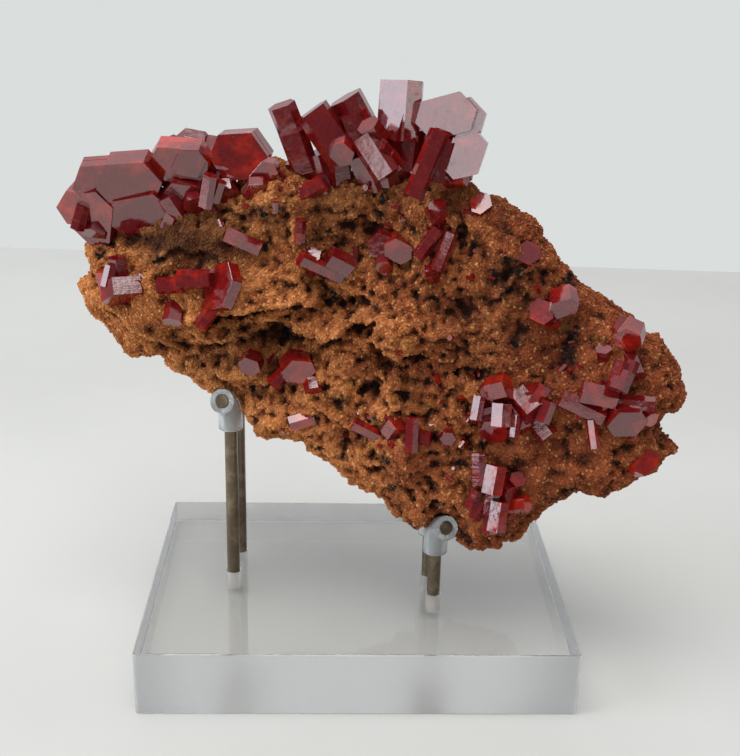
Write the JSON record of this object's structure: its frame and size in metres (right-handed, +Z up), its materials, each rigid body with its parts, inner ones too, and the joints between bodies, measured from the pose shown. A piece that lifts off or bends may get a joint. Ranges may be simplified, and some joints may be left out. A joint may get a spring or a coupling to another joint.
{
  "type": "vanadinite on matrix",
  "caption": "Rock matrix with hexagonal vanadinite crystals, resting in the V of bent, sleeved rods on a clear acrylic block; a free-standing display specimen.",
  "frame": {"origin": "middle of the acrylic block's underside", "axes": "+Z up; the specimen's front faces -Y; +X to the right as seen from the front"},
  "size_m": [0.1462, 0.0762, 0.1386],
  "materials": {
    "acrylic": "clear acrylic, polished top, satin sides",
    "bronzed_steel": "dark bronzed rod, satin",
    "clear_vinyl": "clear soft vinyl sleeve",
    "brown_matrix": "granular limonitic rock, matt",
    "vanadinite": "deep red crystal, resinous gloss"
  },
  "bodies": {
    "root": {"acrylic_block": "acrylic", "rod_front_left": "bronzed_steel", "rod_front_right": "bronzed_steel", "rod_rear_left": "bronzed_steel", "rod_rear_right": "bronzed_steel", "sleeve_front_left": "clear_vinyl", "sleeve_front_right": "clear_vinyl", "sleeve_rear_left": "clear_vinyl", "sleeve_rear_right": "clear_vinyl", "matrix": "brown_matrix", "crystals_upper_left": "vanadinite", "crystals_upper_right": "vanadinite", "crystal_right_shoulder": "vanadinite", "crystals_left_tip": "vanadinite", "crystals_left_bar": "vanadinite", "crystal_under_the_bar": "vanadinite", "crystal_upper_ledge": "vanadinite", "crystals_white_ended": "vanadinite", "crystal_needle_left": "vanadinite", "crystals_bowl": "vanadinite", "crystal_brow": "vanadinite", "crystals_right_shelf": "vanadinite", "crystal_dark": "vanadinite", "crystals_tip_upper": "vanadinite", "crystals_right_tip": "vanadinite", "crystal_tip_small": "vanadinite", "crystal_tip_low": "vanadinite", "crystals_centre": "vanadinite", "crystals_low": "vanadinite", "crystal_mid_bar": "vanadinite", "crystals_mid_pair": "vanadinite", "crystal_mid_button": "vanadinite", "crystal_cave_left": "vanadinite", "crystals_cave": "vanadinite", "crystal_below_the_cave": "vanadinite", "crystals_fins": "vanadinite"}
  },
  "joints": []
}
